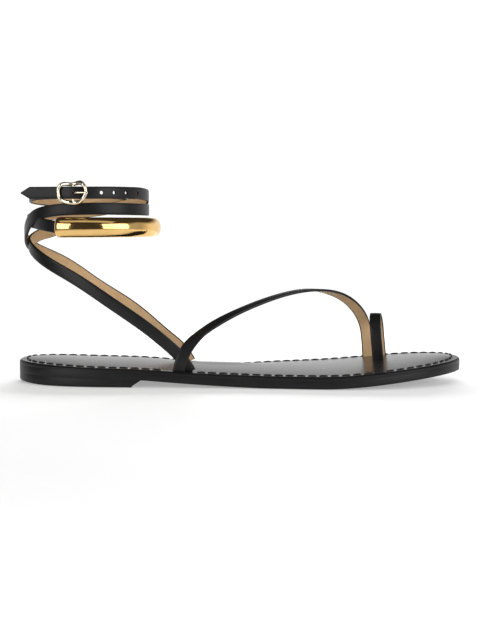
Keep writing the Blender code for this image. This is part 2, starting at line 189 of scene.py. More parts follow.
@dataclass(frozen=True)
class Finish:
    """How a surface looks. Each kind draws its own nodes."""

    name: str
    colour: Colour
    deep: Colour
    rough: float

    def material(self) -> bpy.types.Material:
        """The finish as a material, made once.

        Returns:
            The Blender material.
        """
        made = bpy.data.materials.get(self.name)
        if made is None:
            made = bpy.data.materials.new(self.name)
            made.use_nodes = True
            board = Board(made.node_tree)
            surface = board.node("ShaderNodeBsdfPrincipled", self.sockets(board))
            board.node("ShaderNodeOutputMaterial", {"Surface": surface})
        return made

    def sockets(self, board: Board) -> Sockets:
        """Values and wires of the shader's sockets.

        Args:
            board: the material's nodes.

        Returns:
            Socket names with what feeds them.
        """
        raise NotImplementedError


@dataclass(frozen=True)
class Leather(Finish):
    """Finished leather: fine pores, soft cloudy tone and a worn or polished sheen."""

    pore: float = 0.55
    pore_depth: float = 0.05
    cloud: float = 9.0
    rough_swing: float = 0.08
    coat: float = 0.0
    coat_rough: float = 0.2
    mirror: float = 0.3

    def sockets(self, board: Board) -> Sockets:
        """Pores and fibres as relief, clouds in the tone and the gloss.

        Args:
            board: the material's nodes.

        Returns:
            Socket names with what feeds them.
        """
        clouds = board.noise(self.cloud, 4.0)
        pores = board.cells(self.pore, "SMOOTH_F1")
        fibres = board.noise(self.pore * 0.6, 2.0)
        tone = (clouds * 0.7 + fibres * 0.3).between(0.3, 0.7)
        rough = clouds * self.rough_swing + pores * 0.05 + (self.rough - self.rough_swing / 2.0)
        relief = pores * 0.7 + fibres * 0.3
        return {
            "Base Color": board.blend(tone, self.deep, self.colour),
            "Roughness": rough,
            "Normal": board.relief(relief, self.pore_depth),
            "Coat Weight": self.coat,
            "Coat Roughness": self.coat_rough,
            "Specular IOR Level": self.mirror,
        }


@dataclass(frozen=True)
class BurnishedEdge(Finish):
    """Stained and burnished sole edge: fine level streaks where the layers were ground."""

    streak: float = 0.35
    streak_long: float = 14.0
    depth: float = 0.012
    mirror: float = 0.22

    def sockets(self, board: Board) -> Sockets:
        """Level streaks in relief and gloss over a cloudy black.

        Args:
            board: the material's nodes.

        Returns:
            Socket names with what feeds them.
        """
        level = self.streak / self.streak_long
        streaks = board.noise(self.streak, 3.0, (level, level, 1.0))
        clouds = board.noise(11.0, 3.0)
        specks = board.noise(0.3, 2.0)
        tone = (streaks * 0.6 + clouds * 0.4).between(0.32, 0.68)
        return {
            "Base Color": board.blend(tone, self.deep, self.colour),
            "Roughness": streaks * 0.06 + clouds * 0.1 + (self.rough - 0.08),
            "Normal": board.relief(streaks * 0.75 + specks * 0.25, self.depth),
            "Specular IOR Level": self.mirror,
        }


@dataclass(frozen=True)
class Rubber(Finish):
    """Moulded heel rubber with a fine even tooth."""

    tooth: float = 0.5
    depth: float = 0.06
    mirror: float = 0.3

    def sockets(self, board: Board) -> Sockets:
        """Fine tooth as relief, dusty tone between its grains.

        Args:
            board: the material's nodes.

        Returns:
            Socket names with what feeds them.
        """
        grains = board.cells(self.tooth)
        clouds = board.noise(8.0, 4.0)
        tone = (grains * 0.5 + clouds * 0.5).between(0.2, 0.7)
        return {
            "Base Color": board.blend(tone, self.deep, self.colour),
            "Roughness": clouds * 0.14 + (self.rough - 0.07),
            "Normal": board.relief(grains, self.depth),
            "Specular IOR Level": self.mirror,
        }


@dataclass(frozen=True)
class Thread(Finish):
    """Waxed and twisted sewing thread."""

    ply: float = 0.45
    slant: float = 35.0
    depth: float = 0.1

    def sockets(self, board: Board) -> Sockets:
        """Slanting plies as relief.

        Args:
            board: the material's nodes.

        Returns:
            Socket names with what feeds them.
        """
        plies = board.node("ShaderNodeTexWave", {
            "Vector": board.place(EVEN, (0.0, 0.0, math.radians(self.slant))),
            "Scale": 0.3 / (self.ply * MM), "Distortion": 1.2, "Detail": 1.0})
        fuzz = board.noise(0.25, 2.0)
        return {
            "Base Color": board.blend((plies * 0.6 + fuzz * 0.4).between(0.2, 0.8), self.deep, self.colour),
            "Roughness": fuzz * 0.2 + (self.rough - 0.1),
            "Normal": board.relief(plies * 0.8 + fuzz * 0.2, self.depth),
        }


@dataclass(frozen=True)
class Plate(Finish):
    """Polished plated metal with faint wiping marks and a few cloudy spots."""

    scratch: float = 0.12
    swing: float = 0.06
    wave: float = 7.0
    wave_depth: float = 0.05

    def sockets(self, board: Board) -> Sockets:
        """Wiping marks in the gloss and a very low waviness.

        Args:
            board: the material's nodes.

        Returns:
            Socket names with what feeds them.
        """
        wipes = board.noise(self.scratch, 2.0, (0.06, 0.06, 1.0))
        clouds = board.noise(5.0, 3.0)
        waves = board.noise(self.wave, 1.0)
        return {
            "Base Color": board.blend(clouds.between(0.25, 0.7), self.deep, self.colour),
            "Roughness": wipes * self.swing + clouds * self.swing + (self.rough - self.swing),
            "Metallic": 1.0,
            "Normal": board.relief(waves, self.wave_depth),
        }


STRAP_LEATHER = Leather("strap_black_calf", (0.0095, 0.0092, 0.0095), (0.0055, 0.0055, 0.0057), 0.36,
                        mirror=0.27)
STRAP_EDGE = Leather("strap_painted_edge", (0.012, 0.0115, 0.011), (0.007, 0.0066, 0.0062), 0.36, pore=0.3,
                     pore_depth=0.02, cloud=3.0)
LINING = Leather("strap_tan_lining", (0.6, 0.413, 0.231), (0.515, 0.343, 0.179), 0.58, pore=0.4,
                 pore_depth=0.03, cloud=6.0, rough_swing=0.12)
FOOTBED = Leather("footbed_glossy_black", (0.009, 0.0088, 0.0088), (0.005, 0.005, 0.005), 0.4, pore=0.5,
                  pore_depth=0.008, cloud=12.0, rough_swing=0.08, coat=1.0, coat_rough=0.25, mirror=0.06)
SOLE_EDGE = BurnishedEdge("sole_burnished_edge", (0.0105, 0.0102, 0.0102), (0.006, 0.006, 0.006), 0.42)
HEEL_RUBBER = Rubber("heel_black_rubber", (0.014, 0.0138, 0.0138), (0.008, 0.008, 0.008), 0.46)
STITCH_THREAD = Thread("sole_black_thread", (0.012, 0.012, 0.012), (0.005, 0.005, 0.005), 0.5)
GOLD = Plate("bangle_polished_gold", (0.84, 0.55, 0.215), (0.78, 0.485, 0.165), 0.1)
PALE_GOLD = Plate("buckle_pale_gold", (0.84, 0.77, 0.61), (0.78, 0.71, 0.55), 0.2)
STRAP_FINISHES = (STRAP_LEATHER, LINING, STRAP_EDGE)


def natural_spline(knots: Sequence[float], values: Sequence[Sequence[float]]) -> Curve:
    """Smooth curve through one row of values per knot, free at both ends.

    Args:
        knots: rising places of the rows.
        values: one row for each knot.

    Returns:
        A function from a place to its row.
    """
    places = np.asarray(knots, dtype=float)
    rows = np.asarray(values, dtype=float)
    spans = np.diff(places)
    slopes = np.diff(rows, axis=0) / spans[:, None]
    count = len(places)
    system = np.eye(count)
    right = np.zeros_like(rows)
    for i in range(1, count - 1):
        system[i, i - 1:i + 2] = spans[i - 1], 2.0 * (spans[i - 1] + spans[i]), spans[i]
        right[i] = 6.0 * (slopes[i] - slopes[i - 1])
    bends = np.linalg.solve(system, right)

    def at(where: float) -> np.ndarray:
        """Row at a place."""
        i = int(np.clip(np.searchsorted(places, where) - 1, 0, count - 2))
        before = (places[i + 1] - where) / spans[i]
        after = (where - places[i]) / spans[i]
        bend = (before ** 3 - before) * bends[i] + (after ** 3 - after) * bends[i + 1]
        return before * rows[i] + after * rows[i + 1] + bend * spans[i] ** 2 / 6.0

    return at


class Skin:
    """A mesh skin that grows ring by ring, each time by extruding its last loop of edges."""

    def __init__(self, first: Sequence[Sequence[float]]) -> None:
        """Start from a ring of points in millimetres."""
        self.mesh = bmesh.new()
        self.place = self.mesh.verts.layers.int.new("place")
        made = bmesh.ops.create_circle(self.mesh, cap_ends=False, radius=1.0, segments=len(first))
        for i, vert in enumerate(made["verts"]):
            vert[self.place] = i
        self.sides = len(first)
        self.edges = list(self.mesh.edges)
        self.ring = self.sorted(made["verts"])
        self.move(first)
        self.first_edges = list(self.edges)
        self.first_ring = list(self.ring)

    def sorted(self, verts: Iterable[bmesh.types.BMVert]) -> list[bmesh.types.BMVert]:
        """Vertices in the order of their places in the ring."""
        return sorted(verts, key=lambda vert: vert[self.place])

    def move(self, points: Sequence[Sequence[float]]) -> None:
        """Put the last ring on its points."""
        for vert, point in zip(self.ring, points):
            vert.co = Vector(point) * MM

    def grow(self, points: Sequence[Sequence[float]], finish: int = 0) -> None:
        """Extrude the last ring on to new points.

        Args:
            points: one point in millimetres for each vertex of the ring.
            finish: material index of the new faces.
        """
        made = bmesh.ops.extrude_edge_only(self.mesh, edges=self.edges)["geom"]
        verts = [item for item in made if isinstance(item, bmesh.types.BMVert)]
        for item in made:
            if isinstance(item, bmesh.types.BMFace):
                item.material_index = finish
        fresh = set(verts)
        self.edges = [item for item in made if isinstance(item, bmesh.types.BMEdge)
                      and set(item.verts) <= fresh]
        self.ring = self.sorted(verts)
        self.move(points)

    def join_ends(self) -> None:
        """Join the last ring to the first one."""
        bmesh.ops.bridge_loops(self.mesh, edges=self.edges + self.first_edges)

    def cap(self, ring: Sequence[bmesh.types.BMVert]) -> bmesh.types.BMFace:
        """Close a ring with one face."""
        return bmesh.ops.contextual_create(self.mesh, geom=list(ring))["faces"][0]

    def cap_across(self, ring: Sequence[bmesh.types.BMVert]) -> list[bmesh.types.BMEdge]:
        """Close a ring with rungs between its two sides.

        Args:
            ring: the ring, first up one side and then back down the other.

        Returns:
            The rungs.
        """
        face = self.cap(ring)
        count = len(ring)
        rungs = []
        for i in range(1, (count - 1) // 2 + 1):
            near, far = ring[i], ring[count - i]
            if self.mesh.edges.get((near, far)):
                continue
            parts = (face, bmesh.utils.face_split(face, near, far)[0])
            rungs.append(self.mesh.edges.get((near, far)))
            after = ring[(i + 1) % count]
            face = next(part for part in parts if after in part.verts[:])
        return rungs

    def paint(self, stretches: Sequence[Face]) -> None:
        """Give each face the finish of its stretch of the section; end faces count as edges."""
        last = self.sides - 1
        for face in self.mesh.faces:
            places = sorted({vert[self.place] for vert in face.verts})
            if len(places) > 2:
                face.material_index = Face.EDGE.value
            elif places[0] == 0 and places[-1] == last:
                face.material_index = stretches[last].value
            else:
                face.material_index = stretches[places[0]].value


def make_piece(name: str, shape: bmesh.types.BMesh, finishes: Sequence[Finish],
               sharp: float = 38.0) -> bpy.types.Object:
    """Turn a bmesh into a named object with its finishes.

    Args:
        name: the piece's name.
        shape: the mesh, which is used up.
        finishes: one finish for each material index.
        sharp: edges that bend by more than this many degrees stay sharp.

    Returns:
        The new object, in the scene.
    """
    bmesh.ops.recalc_face_normals(shape, faces=shape.faces[:])
    mesh = bpy.data.meshes.new(name)
    shape.to_mesh(mesh)
    shape.free()
    mesh.shade_smooth()
    mesh.set_sharp_from_angle(angle=math.radians(sharp))
    for finish in finishes:
        mesh.materials.append(finish.material())
    piece = bpy.data.objects.new(name, mesh)
    bpy.context.scene.collection.objects.link(piece)
    return piece


def settle(piece: bpy.types.Object, slot: Slot, node: Optional[str] = None) -> bpy.types.Object:
    """Fix a piece to the shoe and say what it stands for.

    Args:
        piece: the finished piece.
        slot: the record's material slot; not used.
        node: the solid that it replaces, if any.

    Returns:
        The same piece.
    """
    if node:
        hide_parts(node)
    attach(piece, BODY)
    LOG.info("%s: %d faces, stands for %s", piece.name, len(piece.data.polygons), node or "no solid")
    return piece


def add_pin(shape: bmesh.types.BMesh, sides: int, radius: float, tall: float, where: Matrix) -> None:
    """Add a round pin to a mesh.

    Args:
        shape: the mesh that takes it.
        sides: faces round it.
        radius: its radius in millimetres.
        tall: its length in millimetres.
        where: its middle and turn, in metres.
    """
    bmesh.ops.create_cone(shape, cap_ends=True, segments=sides, radius1=radius * MM, radius2=radius * MM,
                          depth=tall * MM, matrix=where)


def plateau(x: float, spot: tuple[float, float, float]) -> float:
    """Height at x of a flat-topped rise, given by its middle, its half length and its height."""
    middle, reach, height = spot
    return height * math.exp(-((x - middle) / reach) ** 4)


@dataclass
class SoleForm:
    """Outline and heights of the sole. The place s runs from the heel's rear to the toe."""

    length: float = 256.0
    outsole_thick: float = 4.4
    insole_thick: float = 2.5
    ball_front: float = 172.0
    ball_rear: float = 145.0
    toe_spring: float = 6.4
    toe_run: float = 88.0
    breast_top: float = 73.0
    breast_foot: float = 68.0
    seat_lift: float = 4.0
    seat_rise: float = 1.6
    arch_curve: float = 1.6
    bed_ease: float = 10.0
    heel_flat_from: float = 22.0
    heel_rocker: float = 1.2
    outline: Sequence[tuple[float, float, float]] = (
        (0.0, 0.0, 0.0),
        (6.0, 15.0, 15.0),
        (18.0, 24.3, 22.4),
        (40.0, 31.0, 26.2),
        (65.0, 33.0, 26.2),
        (95.0, 33.6, 24.4),
        (125.0, 35.4, 24.8),
        (155.0, 39.2, 33.0),
        (180.0, 41.8, 40.4),
        (205.0, 40.4, 42.0),
        (228.0, 33.6, 36.4),
        (244.0, 22.0, 27.4),
        (253.0, 9.0, 16.8),
        (256.0, -2.5, 2.5),
    )
    edges: Curve = field(init=False)

    def __post_init__(self) -> None:
        """Draw the two edges through the outline's rows."""
        angles = [self.angle(row[0]) for row in self.outline]
        self.edges = natural_spline(angles, [row[1:] for row in self.outline])

    def angle(self, s: float) -> float:
        """Even angle for a place along the sole, so that both ends come out round."""
        return math.acos(1.0 - 2.0 * s / self.length)

    def stations(self, count: int) -> list[float]:
        """Places along the sole, close together at both ends."""
        return [self.length * (1.0 - math.cos(turn)) / 2.0 for turn in np.linspace(0.0, math.pi, count)]

    def outsole_foot(self, s: float) -> float:
        """Height of the outsole's underside: heel seat, arch, flat ball and toe spring."""
        if s < self.breast_top:
            return self.seat_lift + self.seat_rise * (1.0 - s / self.breast_top)
        if s < self.ball_rear:
            share = (self.ball_rear - s) / (self.ball_rear - self.breast_top)
            return self.seat_lift * share ** self.arch_curve
        share = max(0.0, s - self.ball_front) / self.toe_run
        return self.toe_spring * share ** 2 * (3.0 - 2.0 * share)

    def outsole_top(self, s: float) -> float:
        """Height of the seam between the outsole and the insole."""
        return self.outsole_foot(s) + self.outsole_thick + GAP / 2.0

    def insole_top(self, s: float) -> float:
        """Height of the face that the foot stands on, eased over the heel's breast."""
        places = np.clip(s + self.bed_ease * np.linspace(-1.0, 1.0, 7), 0.0, self.length)
        foot = sum(self.outsole_foot(place) for place in places) / len(places)
        return float(foot) + self.outsole_thick + GAP + self.insole_thick

    def along(self, x: float) -> float:
        """Place along the sole of a place in the shoe."""
        return min(max(x + self.length / 2.0, 0.0), self.length)

    def lift_foot(self, s: float) -> float:
        """Height of the heel lift's underside: flat, with a small rise at the rear."""
        return self.heel_rocker * (max(0.0, self.heel_flat_from - s) / self.heel_flat_from) ** 2

    def lift_top(self, s: float) -> float:
        """Height of the seam between the heel lift and the outsole."""
        return self.outsole_foot(s)

    def rim(self, stations: Sequence[float], inset: float, height: Callable[[float], float],
            above: float = 0.0) -> list[tuple[float, float, float]]:
        """Loop round the sole, lateral side first from heel to toe.

        Args:
            stations: places along the sole.
            inset: how far the loop is pulled in from the edge.
            height: height of the loop at a place along the sole.
            above: added to that height.

        Returns:
            The loop's points in millimetres.
        """
        lateral = []
        medial = []
        for s in stations:
            out_lateral, out_medial = self.edges(self.angle(s))
            lateral.append((s, -out_lateral))
            if out_lateral + out_medial > 0.01:
                medial.append((s, out_medial))
        loop = np.array(lateral + medial[::-1])
        along = np.roll(loop, -1, axis=0) - np.roll(loop, 1, axis=0)
        inward = np.stack([-along[:, 1], along[:, 0]], axis=1)
        loop = loop + inset * inward / np.linalg.norm(inward, axis=1)[:, None]
        return [(s - self.length / 2.0, y, height(min(max(s, 0.0), self.length)) + above) for s, y in loop]


@dataclass
class Sole:
    """Heel lift, outsole and insole with the thread line sewn round it."""

    form: SoleForm
    stations: int = 110
    breast_clear: float = 2.0
    edge_round: float = 0.7
    seam: float = 0.012
    rung_cuts: int = 15
    stitch_in: float = 4.4
    stitch_long: float = 4.9
    stitch_pitch: float = 6.2
    stitch_r: float = 0.58
    stitch_flat: float = 0.95
    stitch_blunt: float = 0.7
    stitch_rise: float = 0.12
    thread_stations: int = 400
    pulled_in: float = 0.7
    crown: float = 1.1
    crown_y: float = 4.0
    lateral_dip: float = 0.35
    medial_dip: float = -0.25
    full_wide: float = 45.0
    padding_deep: float = 2.0
    waist_dip: tuple[float, float, float] = (-12.0, 24.0, 0.9)
    seat_sag: tuple[float, float, float] = (-60.0, 45.0, 0.7)
    arch_pad: tuple[float, float, float] = (-11.0, 18.0, 0.5)
    arch_y: float = 9.0
    arch_wide: float = 8.0
    arris: Sequence[tuple[float, float]] = ((1.0, 0.0), (0.3, 0.12), (0.08, 0.45), (0.0, 1.0))
    arris_fade: float = 5.0
    margin: Sequence[tuple[float, float]] = (
        (0.0, 1.3), (0.07, 0.9), (0.3, 0.56), (0.7, 0.3), (1.2, 0.13), (1.8, 0.04), (2.6, 0.0), (4.4, 0.0),
        (5.0, 0.0), (5.7, 0.0), (8.5, 0.0),
    )
    bed_loops: int = 6
    bare: Sequence[tuple[float, float, float]] = ((-33.0, -27.0, 8.5), (-31.0, 23.5, 5.5))

    def dome(self, x: float, y: float) -> float:
        """How far the padded footbed, which the thread pulls down, stands above its plain face.

        Args:
            x: place along the shoe.
            y: place across it.

        Returns:
            The rise in millimetres, below zero near the edges.
        """
        lateral, medial = self.form.edges(self.form.angle(self.form.along(x)))
        if y > self.crown_y:
            reach, dip = medial - self.crown_y, self.medial_dip + plateau(x, self.waist_dip)
        else:
            reach, dip = lateral + self.crown_y, self.lateral_dip
        share = min(abs(y - self.crown_y) / max(reach - self.stitch_in - self.pulled_in, 1.0), 1.0)
        rise = self.crown - (self.crown + dip) * share ** 2
        pad = plateau(x, self.arch_pad) * math.exp(-((y - self.arch_y) / self.arch_wide) ** 2)
        return rise * min(1.0, (lateral + medial) / self.full_wide) + pad - plateau(x, self.seat_sag)

    def swell(self, shape: bmesh.types.BMesh) -> None:
        """Raise what lies above the insole's seam to the padded form.

        Args:
            shape: the insole's mesh.
        """
        for vert in shape.verts:
            x, y, z = vert.co / MM
            above = z - self.form.outsole_top(self.form.along(x))
            vert.co.z += min(max(above / self.padding_deep, 0.0), 1.0) * self.dome(x, y) * MM

    def layer(self, name: str, loops: Sequence[Sequence[Sequence[float]]], face: Finish, side: Finish,
              bed_loops: int = 0) -> bpy.types.Object:
        """Closed layer of the sole, grown from its lowest loop to its highest.

        Args:
            name: the piece's name.
            loops: loops of points in millimetres, from the middle of the underside to that of the top.
            face: finish of what lies level.
            side: finish of what stands upright.
            bed_loops: how many of the last loops belong to the upper face, which is padded if there are any.

        Returns:
            The new piece.
        """
        skin = Skin(loops[0])
        for i, loop in enumerate(loops[1:], 1):
            skin.grow(loop, int(i < len(loops) - bed_loops))
        rungs = skin.cap_across(skin.first_ring) + skin.cap_across(skin.ring)
        bmesh.ops.subdivide_edges(skin.mesh, edges=rungs, cuts=self.rung_cuts, use_grid_fill=True)
        if bed_loops:
            self.swell(skin.mesh)
        return make_piece(name, skin.mesh, [face, side])

    def rounded(self, stations: Sequence[float], height: Callable[[float], float], soft_from: float = -10.0
                ) -> list[np.ndarray]:
        """Loops over the rounded arris of an underside, from the face to the side.

        Args:
            stations: places along the sole.
            height: height of the face.
            soft_from: the arris is crisp up to this place along the sole.

        Returns:
            Loops of points.
        """
        loops = []
        for inset, rise in self.arris:
            crisp, soft = (np.array(self.form.rim(stations, inset * size, height, rise * size))
                           for size in (self.seam, self.edge_round))
            past = soft[:, :1] + self.form.length / 2.0 - soft_from
            share = np.clip(past / self.arris_fade, 0.0, 1.0)
            loops.append(crisp + (soft - crisp) * share)
        return loops

    def seam_loops(self, stations: Sequence[float], height: Callable[[float], float], up: float
                   ) -> list[list[tuple[float, float, float]]]:
        """Loops from the side into the fine groove of a seam."""
        return [self.form.rim(stations, 0.0, height, -up * 2.0 * self.seam),
                self.form.rim(stations, self.seam, height, 0.0)]

    def build(self) -> None:
        """Make the three layers and the thread."""
        form = self.form
        stations = form.stations(self.stations)
        heel = [s for s in stations if s < form.breast_top - self.breast_clear] + [form.breast_top]
        heel_foot = [s * form.breast_foot / form.breast_top for s in heel]
        lift = self.layer("heel_top_lift", self.rounded(heel_foot, form.lift_foot)
                          + self.seam_loops(heel, form.lift_top, 1.0), HEEL_RUBBER, SOLE_EDGE)
        settle(lift, Slot.HEEL_RUBBER, "heel_lift")
        outsole = self.layer("leather_outsole", self.rounded(stations, form.outsole_foot, form.breast_top)
                             + self.seam_loops(stations, form.outsole_top, 1.0), SOLE_EDGE, SOLE_EDGE)
        settle(outsole, Slot.SOLE_EDGE, "outsole")
        margin = [form.rim(stations, inset, form.insole_top, -fall) for inset, fall in self.margin]
        loops = self.seam_loops(stations, form.outsole_top, -1.0)[::-1] + margin
        insole = self.layer("leather_insole", loops, FOOTBED, SOLE_EDGE, self.bed_loops)
        settle(insole, Slot.INSOLE, "insole")
        settle(self.thread(), Slot.INSOLE)

    def thread(self) -> bpy.types.Object:
        """Row of raised stitches round the footbed, left out where straps come through.

        Returns:
            All stitches as one piece.
        """
        form = self.form
        loop = np.array(form.rim(form.stations(self.thread_stations), self.stitch_in, form.insole_top,
                                 self.stitch_rise))
        loop[:, 2] += [self.dome(x, y) for x, y, _ in loop]
        loop = np.vstack([loop, loop[:1]])
        reach = np.concatenate(([0.0], np.cumsum(np.linalg.norm(np.diff(loop, axis=0), axis=1))))
        count = int(round(reach[-1] / self.stitch_pitch))
        shape = bmesh.new()
        for i in range(count):
            ends = [(i + 0.5) * reach[-1] / count + side * self.stitch_long / 2.0 for side in (-1.0, 1.0)]
            rear, front = (np.array([np.interp(end % reach[-1], reach, loop[:, k]) for k in range(3)])
                           for end in ends)
            middle = (rear + front) / 2.0
            if any(math.hypot(middle[0] - x, middle[1] - y) < clear for x, y, clear in self.bare):
                continue
            self.stitch(shape, middle, front - rear)
        return make_piece("sole_stitches", shape, [STITCH_THREAD])

    def stitch(self, shape: bmesh.types.BMesh, middle: Point, along: Point) -> None:
        """Add one plump stitch.

        Args:
            shape: the mesh that takes it.
            middle: its middle in millimetres.
            along: from its rear to its front.
        """
        turn = Vector(along).to_track_quat("X", "Z").to_matrix().to_4x4()
        size = Matrix.Diagonal((self.stitch_long / 2.0, self.stitch_r, self.stitch_r * self.stitch_flat, 1.0))
        where = Matrix.Translation(Vector(middle) * MM) @ turn @ Matrix.Scale(MM, 4) @ size
        made = bmesh.ops.create_uvsphere(shape, u_segments=8, v_segments=6, radius=1.0,
                                         matrix=Matrix.Rotation(math.pi / 2.0, 4, "Y"))
        for vert in made["verts"]:
            vert.co.x = math.copysign(abs(vert.co.x) ** self.stitch_blunt, vert.co.x)
        bmesh.ops.transform(shape, verts=made["verts"], matrix=where)


@dataclass
class Ankle:
    """The oval that the straps and the bangle go round, and the buckle's place on it."""

    x: float = -87.4
    long: float = 34.1
    wide: float = 30.0
    buckle_turn: float = 263.8
    buckle_z: float = 107.4

    def oval(self, turn: float, out: float) -> tuple[float, float, float]:
        """Place on the oval.

        Args:
            turn: angle round the oval in degrees, which may be more than a full turn.
            out: distance outside the oval.

        Returns:
            x, y and the outward heading in degrees.
        """
        angle = math.radians(turn)
        x = self.x + (self.long + out) * math.cos(angle)
        y = (self.wide + out) * math.sin(angle)
        heading = math.degrees(math.atan2(math.sin(angle) / self.wide, math.cos(angle) / self.long))
        return x, y, turn + (heading - turn + 180.0) % 360.0 - 180.0

    def wrap(self, table: Sequence[Sequence[float]], step: float = 14.0) -> list[tuple[float, ...]]:
        """Strap rows round the oval.

        Args:
            table: turn, distance outside the oval and height.
            step: turn between rows.

        Returns:
            Rows of x, y, z, facing and lean.
        """
        turns, outs, heights = np.array(table).T
        way = math.copysign(1.0, turns[-1] - turns[0])
        count = int(math.ceil(abs(turns[-1] - turns[0]) / step)) + 1
        rows = []
        for turn in np.linspace(turns[0], turns[-1], count):
            out = np.interp(way * turn, way * turns, outs)
            x, y, facing = self.oval(turn, out)
            rows.append((x, y, np.interp(way * turn, way * turns, heights), facing, 0.0))
        return rows

    def buckle_axes(self) -> tuple[Point, Point, Point, float]:
        """Middle of the buckle, its forward and outward directions and its heading."""
        x, y, facing = self.oval(self.buckle_turn, 0.0)
        heading = math.radians(facing)
        forward = np.array((-math.sin(heading), math.cos(heading), 0.0))
        outward = np.array((math.cos(heading), math.sin(heading), 0.0))
        return np.array((x, y, self.buckle_z)), forward, outward, facing

    def buckle_point(self, u: float, v: float, w: float) -> Point:
        """Place in the shoe of a point given forward, up and out from the buckle's middle."""
        middle, forward, outward, _ = self.buckle_axes()
        return middle + u * forward + w * outward + np.array((0.0, 0.0, v))

    def buckle_rows(self, route: Sequence[tuple[float, float]], turns: int) -> list[tuple[float, ...]]:
        """Strap rows through the buckle, faced that many whole turns on."""
        facing = self.buckle_axes()[3] + 360.0 * turns
        return [(*self.buckle_point(u, 0.0, w), facing, 0.0) for u, w in route]


@dataclass
class Strap:
    """A flat lined strap along rows of place, facing and lean."""

    rows: Sequence[Sequence[float]]
    wide: float = 6.7
    thick: float = 1.5
    border: float = 0.6
    step: float = 1.3
    corner: float = 0.34
    crown: float = 0.06
    nudge: float = 0.2
    tip: float = 0.0
    tip_share: float = 0.12
    tip_steps: Sequence[float] = (0.25, 0.5, 0.75, 1.0)
    length: float = field(init=False)
    route: Curve = field(init=False)

    def __post_init__(self) -> None:
        """Draw the route through the rows."""
        table = np.array(self.rows, dtype=float)
        steps = np.linalg.norm(np.diff(table[:, :3], axis=0), axis=1)
        knots = np.concatenate(([0.0], np.cumsum(steps)))
        self.length = float(knots[-1])
        self.route = natural_spline(knots, table)

    def section(self, where: float) -> tuple[Point, Point, Point, Point]:
        """Middle point and the directions along, across and out at a length along the strap."""
        row = self.route(where)
        ahead, back = min(where + self.nudge, self.length), max(where - self.nudge, 0.0)
        along = self.route(ahead)[:3] - self.route(back)[:3]
        along /= np.linalg.norm(along)
        facing, lean = np.radians(row[3:])
        out = np.array((math.cos(lean) * math.cos(facing), math.cos(lean) * math.sin(facing), math.sin(lean)))
        across = np.cross(along, out)
        across /= np.linalg.norm(across)
        return row[:3], along, across, np.cross(across, along)

    def nearest(self, target: Point) -> float:
        """Length along the strap at which it passes closest to a point."""
        places = np.linspace(0.0, self.length, 4000)
        distances = [np.linalg.norm(self.route(place)[:3] - target) for place in places]
        return float(places[int(np.argmin(distances))])

    def outline(self, share: float = 1.0) -> list[tuple[float, float, Face]]:
        """Section of the strap: crowned outside, edges painted a little way over the back, and flat lining.

        Args:
            share: how much of the full width is left.

        Returns:
            Across, out and the finish of the stretch that follows each point.
        """
        half, deep = self.wide * share / 2.0, self.thick / 2.0
        corner = min(self.corner, half * 0.6)
        right = [
            (half - corner, deep - 0.02, Face.EDGE),
            (half - 0.3 * corner, deep - 0.16, Face.EDGE),
            (half, deep - 0.45, Face.EDGE),
            (half, -deep + 0.3, Face.EDGE),
            (half - 0.25 * corner, -deep + 0.06, Face.EDGE),
            (half - 0.75 * corner, -deep, Face.EDGE),
            (half - min(self.border, half * 0.5), -deep, Face.LINING),
        ]
        lining = [(half * part, -deep, Face.LINING) for part in (0.45, 0.0, -0.45)]
        left = [(-a, o, Face.EDGE) for a, o, _ in right[::-1]]
        left[-1] = (left[-1][0], left[-1][1], Face.OUTSIDE)
        outside = [(half * part, deep + self.crown * (1.0 - part * part), Face.OUTSIDE)
                   for part in (-0.5, 0.0, 0.5)]
        return right + lining + left + outside

    def ring(self, place: float, share: float = 1.0) -> list[Point]:
        """Points of the section at a length along the strap."""
        middle, _, across, out = self.section(place)
        return [middle + a * across + o * out for a, o, _ in self.outline(share)]

    def places(self) -> list[tuple[float, float]]:
        """Lengths along the strap with the share of the width that is left there."""
        full = self.length - self.tip
        count = int(math.ceil(full / self.step)) + 1
        rows = [(float(place), 1.0) for place in np.linspace(0.0, full, count)]
        if self.tip:
            rows += [(full + self.tip * part, 1.0 - (1.0 - self.tip_share) * part) for part in self.tip_steps]
        return rows

    def skin(self) -> Skin:
        """The strap's closed skin, painted by stretch."""
        places = self.places()
        skin = Skin(self.ring(*places[0]))
        for place, share in places[1:]:
            skin.grow(self.ring(place, share))
        skin.paint([face for _, _, face in self.outline()])
        for ring in (skin.first_ring, skin.ring):
            skin.cap(ring).material_index = Face.EDGE.value
        return skin


